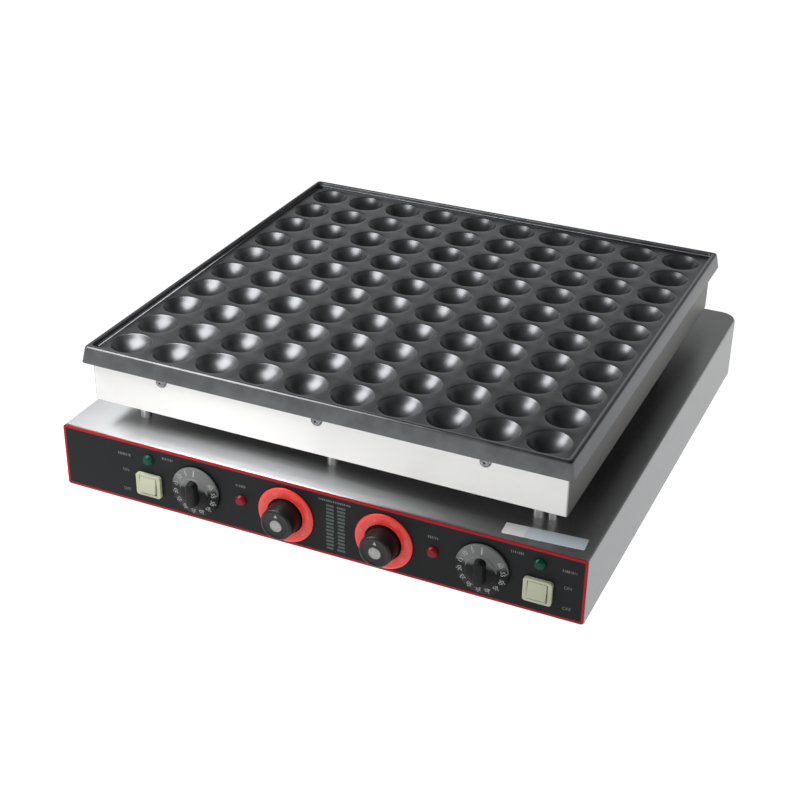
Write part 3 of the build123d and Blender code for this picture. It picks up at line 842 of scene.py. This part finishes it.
for side in SIDES:
    axis = control_axis(f"thermostat_shaft_{side}")
    low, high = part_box(f"scale_ring_{side}")
    outer = (high.x - low.x) / 2 / MM
    inner = outer - RING_BAND
    ring = turned(f"scale_ring_{side}_moulded", axis, (
        (inner, 0), (outer, 0), (outer, RING_THICKNESS - RING_BEVEL),
        (outer - 2 * RING_BEVEL, RING_THICKNESS), (inner, RING_THICKNESS),
    ))
    rounded_edges(ring, 0.5, 3, 20.0)
    keep(ring, finishes["ring_red"], "body", (f"scale_ring_{side}",))

    knob_body = f"thermostat_dial_{side}"
    knob = turned(f"thermostat_knob_{side}_moulded", axis, KNOB_PROFILE)
    rounded_edges(knob, 0.4, 2, 30.0)
    keep(knob, finishes["knob_black"], knob_body, (f"thermostat_knob_{side}",))
    cap = turned(f"thermostat_cap_{side}", axis - Vector((0, 0, CAP_DROP * MM)), CAP_PROFILE, 48)
    rounded_edges(cap, 0.15, 2, 30.0)
    keep(cap, cap_metal, knob_body)
    mark = pointer_mark(f"thermostat_pointer_{side}", axis)
    rounded_edges(mark, 0.12, 2, 30.0)
    keep(mark, white_ink, knob_body)
print("thermostat rings and knobs turned")

# %% [markdown]
# The timer's dial slopes a little towards its rim, so only its upper part tilts upwards and takes the painted
# sheen. A low hub rises in its middle, and the grip is a tapered block with round ends: the same rounded
# loop that makes the plate's rim, stacked at four heights and closed on top.

# %% Timer dials
DIAL_RADIUS = 27.0
DIAL_RIM_OUT = 3.9
DIAL_OUT = 5.5
HUB_RADIUS = 16.0
HUB_OUT = 7.1
SLOPE_START = HUB_RADIUS + 0.3
SLOPE_END = DIAL_RADIUS - 0.8
DIAL_PROFILE = (
    (0, KNOB_LIFT), (DIAL_RADIUS, KNOB_LIFT), (DIAL_RADIUS, DIAL_RIM_OUT - 0.8),
    (SLOPE_END, DIAL_RIM_OUT), (SLOPE_START, DIAL_OUT), (HUB_RADIUS, DIAL_OUT + 0.2),
    (HUB_RADIUS - 0.3, HUB_OUT - 0.5), (HUB_RADIUS - 1.2, HUB_OUT), (0, HUB_OUT),
)
GRIP_HALF_WIDTH = 6.0
GRIP_HALF_LENGTH = 15.0
GRIP_END_FLAT = 0.6
GRIP_LEVELS = ((DIAL_OUT, 0.0), (13.6, 1.28), (14.2, 1.55), (14.5, 2.2))


def timer_grip(name, centre):
    """The tapered grip on a timer's dial, made lying down and then stood up."""
    shape = bmesh.new()
    loops = []
    for out, inset in GRIP_LEVELS:
        across, along = GRIP_HALF_WIDTH - inset, GRIP_HALF_LENGTH - inset
        loops.append(rounded_loop(shape, (-across, across, -along, along), out, across - GRIP_END_FLAT))
    for lower, upper in zip(loops, loops[1:]):
        joined(shape, lower, upper)
    shape.faces.new(loops[0])
    shape.faces.new(loops[-1])
    bmesh.ops.transform(shape, matrix=facing_front(centre), verts=shape.verts)
    return smoothed(from_bmesh(name, shape), 50.0)


for side in SIDES:
    axis = control_axis(f"timer_shaft_{side}")
    dial_body = f"timer_dial_{side}"
    dial = turned(f"timer_dial_{side}_moulded", axis, DIAL_PROFILE)
    rounded_edges(dial, 0.3, 2, 30.0)
    keep(dial, finishes["dial_black"], dial_body, (f"timer_knob_{side}",))
    keep(timer_grip(f"timer_grip_{side}", axis), grip_phenolic, dial_body)
print("timer dials turned")

# %% [markdown]
# ## Printed marks
# The panel, the dials and the rings carry printed marks. Numbers run anticlockwise round a timer's dial,
# because turning it clockwise by 25 degrees brings the next five minutes under the panel's index. A print is
# a few hundredths of a millimetre thick, so each is a flat mesh just off its surface.

# %% Numbers
PRINT_LIFT = 0.05
CAPITAL_SHARE = 0.72
NUMBER_RADIUS = 21.6
NUMBER_HEIGHT = 4.4
DIAL_STEP = -25.0
RING_NUMBER_RADIUS = 25.0
RING_NUMBER_HEIGHT = 3.4
RING_START = -175.0
dial_slope = math.degrees(math.atan((DIAL_OUT - DIAL_RIM_OUT) / (SLOPE_END - SLOPE_START)))
number_out = DIAL_OUT - (NUMBER_RADIUS - SLOPE_START) * math.tan(math.radians(dial_slope))


def lettering(text, height_mm):
    """Flat letters as a mesh in the XY plane, centred on the origin, with capitals of the given height."""
    curve = bpy.data.curves.new("letters", "FONT")
    curve.body = text
    curve.size = height_mm * MM / CAPITAL_SHARE
    curve.align_x = "CENTER"
    curve.align_y = "CENTER"
    holder = as_object("letters", curve)
    mesh = evaluated_mesh(holder)
    bpy.data.objects.remove(holder)
    return mesh


def print_piece(name, prints, finish, body):
    """Joins flat meshes, each in its place, to one printed piece."""
    shape = bmesh.new()
    for mesh, place in prints:
        mesh.transform(place)
        shape.from_mesh(mesh)
    keep(from_bmesh(name, shape, outwards=False), finish, body)


def on_dial(centre, radius, out, degrees, lean=0.0):
    """Place for a print that faces the front, at an angle clockwise from the top, leaning back by a slope."""
    turn = Matrix.Rotation(math.radians(degrees), 4, "Y")
    up = Matrix.Translation((0, -(out + PRINT_LIFT) * MM, radius * MM))
    tilt = Matrix.Rotation(math.radians(90 - lean), 4, "X")
    return Matrix.Translation(centre) @ turn @ up @ tilt


for side in SIDES:
    axis = control_axis(f"timer_shaft_{side}")
    minutes = [
        (lettering(str(5 * n), NUMBER_HEIGHT),
         on_dial(axis, NUMBER_RADIUS, number_out, DIAL_STEP * n, dial_slope))
        for n in range(1, 13)
    ]
    print_piece(f"timer_numbers_{side}", minutes, white_ink, f"timer_dial_{side}")

    axis = control_axis(f"thermostat_shaft_{side}")
    degrees_marks = [
        (lettering(str(50 * n), RING_NUMBER_HEIGHT),
         on_dial(axis, RING_NUMBER_RADIUS, RING_THICKNESS, RING_START + 50 * n))
        for n in range(1, 7)
    ]
    print_piece(f"ring_numbers_{side}", degrees_marks, pale_ink, "body")
print("numbers printed")

# %% [markdown]
# Screws, ticks and the panel's small marks repeat, so one Geometry Nodes tree sets them all out. A mesh of
# bare points says where they stand and its attribute how each is turned. The tree puts the given shape on
# every point, lets length and roll differ by a fixed seed, and makes it real.

# %% Setting out
def set_out_tree():
    """Puts a shape on every point, turned by the points' own attribute."""
    tree = bpy.data.node_groups.new("set out", "GeometryNodeTree")
    given, result = tree_ends(
        tree, Shape="Object", Shortest="Float", Roll="Float", Seed="Int", Finish="Material"
    )

    def drawn(low, high):
        """A random number for each point. The two sockets are the least and the most, by index."""
        return add_node(tree, "FunctionNodeRandomValue", {
            2: low, 3: high, "Seed": given["Seed"],
        }, data_type="FLOAT").outputs[1]

    shape = add_node(tree, "GeometryNodeObjectInfo", {"As Instance": True, "Object": given["Shape"]})
    turn = add_node(tree, "GeometryNodeInputNamedAttribute", {"Name": "turn"}, data_type="FLOAT_VECTOR")
    stretch = add_node(
        tree, "ShaderNodeCombineXYZ", {"X": drawn(given["Shortest"], 1.0), "Y": 1.0, "Z": 1.0}
    )
    placed = add_node(tree, "GeometryNodeInstanceOnPoints", {
        "Points": given["Geometry"], "Instance": shape.outputs["Geometry"],
        "Rotation": turn.outputs["Attribute"], "Scale": stretch.outputs["Vector"],
    })
    own_axis = add_node(tree, "ShaderNodeCombineXYZ", {"Z": drawn(0.0, given["Roll"])})
    rolled = add_node(tree, "GeometryNodeRotateInstances", {
        "Instances": placed.outputs["Instances"], "Rotation": own_axis.outputs["Vector"],
    })
    real = add_node(tree, "GeometryNodeRealizeInstances", {"Geometry": rolled.outputs["Instances"]})
    paint_last(tree, real, given, result)
    return tree


set_out = set_out_tree()


def set_out_piece(name, shape, places, finish, body, shortest=1.0, roll=0.0, seed=1):
    """A piece made of one shape at many places, each given as (point, Euler turn)."""
    points = bpy.data.meshes.new(name)
    points.from_pydata([tuple(spot) for spot, _ in places], [], [])
    turns = points.attributes.new("turn", "FLOAT_VECTOR", "POINT")
    for n, (_, turn) in enumerate(places):
        turns.data[n].vector = turn
    piece = as_object(name, points)
    run_tree(piece, set_out, Shape=shape, Shortest=shortest, Roll=roll, Seed=seed, Finish=finish)
    keep(piece, finish, body)


def flat_mark(name, width_mm, height_mm):
    """A flat printed rectangle in the XY plane, centred on the origin."""
    across, up = width_mm / 2 * MM, height_mm / 2 * MM
    corners = [(-across, -up, 0), (across, -up, 0), (across, up, 0), (-across, up, 0)]
    mesh = bpy.data.meshes.new(name)
    mesh.from_pydata(corners, [], [(0, 1, 2, 3)])
    return as_object(name, mesh)


print("setting-out tree nodes:", len(set_out.nodes))

# %% Ticks
DIAL_TICK_RADIUS = 25.1
DIAL_TICK_OUT = DIAL_RIM_OUT + 0.25
RING_TICK_RADIUS = 21.3


def round_places(centre, radius, out, angles, lean=0.0):
    """Places round a control's axis for the setting-out tree."""
    places = [on_dial(centre, radius, out, degrees, lean) for degrees in angles]
    return [(place.to_translation(), place.to_euler()) for place in places]


tick = flat_mark("tick", 0.7, 1.8)
zero_line = flat_mark("zero line", 1.5, 7.0)
fives = [DIAL_STEP * n for n in range(1, 13)]
halves = [RING_START + 25 * n for n in range(1, 13)]
for side in SIDES:
    axis = control_axis(f"timer_shaft_{side}")
    for kind, mark, places in (
        ("ticks", tick, round_places(axis, DIAL_TICK_RADIUS, DIAL_TICK_OUT, fives, dial_slope)),
        ("zero", zero_line, round_places(axis, NUMBER_RADIUS, number_out, [0], dial_slope)),
    ):
        set_out_piece(f"timer_{kind}_{side}", mark, places, white_ink, f"timer_dial_{side}")
    axis = control_axis(f"thermostat_shaft_{side}")
    places = round_places(axis, RING_TICK_RADIUS, RING_THICKNESS, halves)
    set_out_piece(f"ring_ticks_{side}", tick, places, pale_ink, "body")
for mark in (tick, zero_line):
    bpy.data.objects.remove(mark)
print("ticks set out")

# %% [markdown]
# The panel carries words, a heading over a table of two columns, and ON and OFF by each switch. A word is a
# row of uneven strokes, because at this size only its texture is seen.

# %% Marks on the panel
STROKE_PITCH = 1.9
HEADING_PITCH = 1.95
HEADING_MIDDLE = (28.575, 75.0)
TABLE_COLUMNS = (23.6, 35.8)
TABLE_TOP = 69.6
TABLE_PITCH = 4.1
TABLE_ROWS = 13
SWITCH_WORDS = (("ON", 48.2), ("OFF", 25.0))
SWITCH_WORD_ASIDE = 28.3
SWITCH_WORD_HEIGHT = 3.6


def on_panel(x, z):
    """Place on the panel's face in millimetres, for a print that faces the front."""
    return Vector((x * MM, panel_face - PRINT_LIFT * MM, z * MM))


def stroke_row(x, z, strokes, pitch):
    """Places of a row of upright strokes about its middle."""
    return [(on_panel(x + (n - (strokes - 1) / 2) * pitch, z), FACING_FRONT) for n in range(strokes)]


words, switch_words = [], []
for side, sign in (("left", -1), ("right", 1)):
    switch_x, timer_x, heat_x = (
        box_middle(f"{part}_{side}").x / MM for part in ("switch_housing", "timer_knob", "heat_lens")
    )
    for x, z, strokes in (
        (switch_x + sign * 29, 66.7, 8), (timer_x + sign * 33, 73.3, 7), (heat_x, 65.0, 6),
    ):
        words += stroke_row(x, z, strokes, STROKE_PITCH)
    for word, z in SWITCH_WORDS:
        place = facing_front(on_panel(switch_x + sign * SWITCH_WORD_ASIDE, z))
        switch_words.append((lettering(word, SWITCH_WORD_HEIGHT), place))
table = [
    (on_panel(x, TABLE_TOP - row * TABLE_PITCH), FACING_FRONT)
    for row in range(TABLE_ROWS) for x in TABLE_COLUMNS
]
heading = stroke_row(*HEADING_MIDDLE, 18, HEADING_PITCH)

for name, size, places, ink, shortest, seed in (
    ("panel_words", (1.2, 2.8), words, grey_ink, 0.4, 3),
    ("panel_table", (9.4, 2.5), table, table_ink, 0.7, 5),
    ("panel_heading", (1.3, 2.0), heading, grey_ink, 0.6, 8),
):
    mark = flat_mark("mark", *size)
    set_out_piece(name, mark, places, ink, "body", shortest, seed=seed)
    bpy.data.objects.remove(mark)
print_piece("switch_words", switch_words, grey_ink, "body")
print("panel marks:", len(words) + len(table) + len(heading))

# %% [markdown]
# ## Casing screws
# The casing is held to the casting's skirt by pan-head screws just under the lip, three at the front and
# three at the rear. The cross in a head comes from drawing its innermost ring in and out, four times round.

# %% Casing screws
SCREW_PROFILE = ((6.0, 0.0), (6.0, 0.7), (5.3, 2.2), (3.9, 3.2), (2.7, 3.5), (2.4, 3.5), (1.6, 1.9))
SCREW_SEGMENTS = 16
CROSS_WITHIN = 2.6
CROSS_WAIST = 0.45
SCREW_SPACING = 174.0
SCREW_LEVEL = 149.0


def screw_head():
    """A pan head with a cross recess, standing on the XY plane."""
    shape = bmesh.new()
    rings = []
    for radius, height in SCREW_PROFILE:
        ring = []
        for n in range(SCREW_SEGMENTS):
            waist = radius < CROSS_WITHIN and n % 4 != 0
            reach = radius * (CROSS_WAIST if waist else 1.0)
            angle = 2 * math.pi * n / SCREW_SEGMENTS
            ring.append(point(shape, reach * math.cos(angle), reach * math.sin(angle), height))
        rings.append(ring)
    for lower, upper in zip(rings, rings[1:]):
        joined(shape, lower, upper)
    shape.faces.new(rings[-1])
    shape.faces.new(list(reversed(rings[0])))
    return smoothed(from_bmesh("screw head", shape), 50.0)


head = screw_head()
middle = box_middle("head_casing").x
front, rear = (corner.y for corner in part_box("head_casing"))
screws = [
    ((middle + n * SCREW_SPACING * MM, y, SCREW_LEVEL * MM), turn)
    for n in (-1, 0, 1) for y, turn in ((front, FACING_FRONT), (rear, FACING_REAR))
]
set_out_piece("casing_screws", head, screws, screw_steel, "body", roll=math.pi / 2, seed=11)
bpy.data.objects.remove(head)
print("screws:", len(screws))

# %% [markdown]
# ## Rating label
# A bare vinyl label lies on the base's top near its right front corner, a little askew as labels stuck by
# hand are. Its left end is white and the rest pale blue.

# %% Label
LABEL_MIDDLE = (235.2, -261.2)
LABEL_SIZE = (79.5, 18.5)
LABEL_THICKNESS = 0.25
LABEL_CORNER = 1.5
LABEL_TURN = 4.0
LABEL_SPLIT = 217.0


def label_film():
    """Glossy label film, white at its left end and pale blue beyond the split, with a faint ripple."""
    material, tree, shader = start_material("label film", "#E9EDEE", 0.3)
    place = parts_of(tree, "ShaderNodeTexCoord", "Object")
    beyond = calculate(tree, "GREATER_THAN", place["X"], LABEL_SPLIT * MM)
    feed(shader, "Base Color", mixed(tree, beyond, "#FAFBFB", "#DDEBF2"))
    emboss(shader, grain(tree, 0.2), 0.05, 0.2)
    return material


shape = bmesh.new()
half_length, half_width = LABEL_SIZE[0] / 2, LABEL_SIZE[1] / 2
outline = (-half_length, half_length, -half_width, half_width)
lower, upper = (rounded_loop(shape, outline, level, LABEL_CORNER) for level in (0.0, LABEL_THICKNESS))
joined(shape, lower, upper)
shape.faces.new(lower)
shape.faces.new(upper)
base_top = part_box("base_shell")[1].z
stuck = Matrix.Translation((LABEL_MIDDLE[0] * MM, LABEL_MIDDLE[1] * MM, base_top))
askew = Matrix.Rotation(math.radians(LABEL_TURN), 4, "Z")
bmesh.ops.transform(shape, matrix=stuck @ askew, verts=shape.verts)
keep(from_bmesh("base_label", shape), label_film(), "body")
print("label placed")

# %% [markdown]
# ## Camera, light and floor
# The set is a white table lit from within, as a light table is, under a sky that is bright near the horizon
# and dark overhead. One soft box stands close by at the front left, just above the plate. Its image is the
# bright spot in every bowl, large in the near bowls and small in the far ones, because it is so close. The
# camera looks from the front right, a little above.

# %% Camera
CAMERA_AZIMUTH = 23.928
CAMERA_ELEVATION = 29.011
CAMERA_ROLL = 1.015
CAMERA_DISTANCE = 1750.2
CAMERA_AIM = Vector((-31.7, 3.9, 30.0))
LENS = 68.94

azimuth, elevation = math.radians(CAMERA_AZIMUTH), math.radians(CAMERA_ELEVATION)
back = Vector((
    math.sin(azimuth) * math.cos(elevation), -math.cos(azimuth) * math.cos(elevation), math.sin(elevation),
))
camera = bpy.data.objects.new("camera", bpy.data.cameras.new("camera"))
bpy.context.scene.collection.objects.link(camera)
camera.data.lens = LENS
camera.data.sensor_width = 36.0
look = (-back).to_track_quat("-Z", "Y").to_matrix()
roll = Matrix.Rotation(math.radians(CAMERA_ROLL), 3, "Z")
camera.matrix_world = Matrix.Translation((CAMERA_AIM + back * CAMERA_DISTANCE) * MM) @ (look @ roll).to_4x4()
camera.data.clip_end = 20.0
bpy.context.scene.camera = camera
print("camera at", [round(c, 3) for c in camera.location])

# %% [markdown]
# Metal shows its surroundings more than its own colour, so the sky is shaded by direction. Its level falls
# with height, in steps of (height, level). One side towards the rear right is darker, which keeps the left
# wall of every bowl dark, but not near the horizon, where the camera could see it.

# %% Sky
DARK_SIDE = (0.58, 0.67, 0.47)
DARK_FROM = 0.58
DARK_TO = 0.98
DARK_LEVEL = 0.5
CLEAR_BELOW = 0.05
DARK_ABOVE = 0.15
SKY_LEVELS = ((0.06, 1.0), (0.28, 0.88), (0.37, 0.84), (0.52, 0.14))

world = bpy.data.worlds.new("studio")
bpy.context.scene.world = world
world.use_nodes = True
sky = world.node_tree
background = sky.nodes["Background"].inputs
direction = add_node(sky, "ShaderNodeTexCoord").outputs["Generated"]
height = parts_of(sky, "ShaderNodeTexCoord", "Generated")["Z"]
toward_dark = add_node(
    sky, "ShaderNodeVectorMath", {0: direction, 1: Vector(DARK_SIDE).normalized()}, operation="DOT_PRODUCT"
).outputs["Value"]
darkest = ranged(sky, height, CLEAR_BELOW, DARK_ABOVE, 1.0, DARK_LEVEL, "SMOOTHSTEP")
dimming = ranged(sky, toward_dark, DARK_FROM, DARK_TO, 1.0, darkest, "SMOOTHSTEP")
falling = ramped(sky, height, [(stop, (level, level, level, 1)) for stop, level in SKY_LEVELS])
sky.links.new(calculate(sky, "MULTIPLY", dimming, falling), background["Strength"])
background["Color"].default_value = linear("#FFFFFF")
print("sky levels by height:", SKY_LEVELS)

# %% Soft box and table
BOX_DIRECTION = (-0.305, -0.33, 0.51)
BOX_DISTANCE = 0.68
BOX_SIDE = 0.42
BOX_POWER = 4.5
TABLE_REACH = 12.0
TABLE_GLOW = 0.92

lamp = bpy.data.objects.new("left soft box", bpy.data.lights.new("left soft box", "AREA"))
bpy.context.scene.collection.objects.link(lamp)
lamp.data.size = BOX_SIDE
lamp.data.energy = BOX_POWER
lamp.location = Vector(BOX_DIRECTION).normalized() * BOX_DISTANCE
lamp.visible_camera = False
lamp.rotation_mode = "QUATERNION"
lamp.rotation_quaternion = (-lamp.location).to_track_quat("-Z", "Y")

table_top = bpy.data.meshes.new("floor")
table_top.from_pydata(
    [(x * TABLE_REACH, y * TABLE_REACH, 0) for x, y in ((-1, -1), (1, -1), (1, 1), (-1, 1))],
    [], [(0, 1, 2, 3)],
)
lit_table, _, _ = start_material(
    "lit white table", "#A4A4A4", 0.9, Emission_Color=linear("#FFFFFF"), Emission_Strength=TABLE_GLOW
)
table_top.materials.append(lit_table)
as_object("floor", table_top)
bpy.context.scene.view_settings.view_transform = "Standard"
print("soft box at", [round(c, 3) for c in lamp.location])
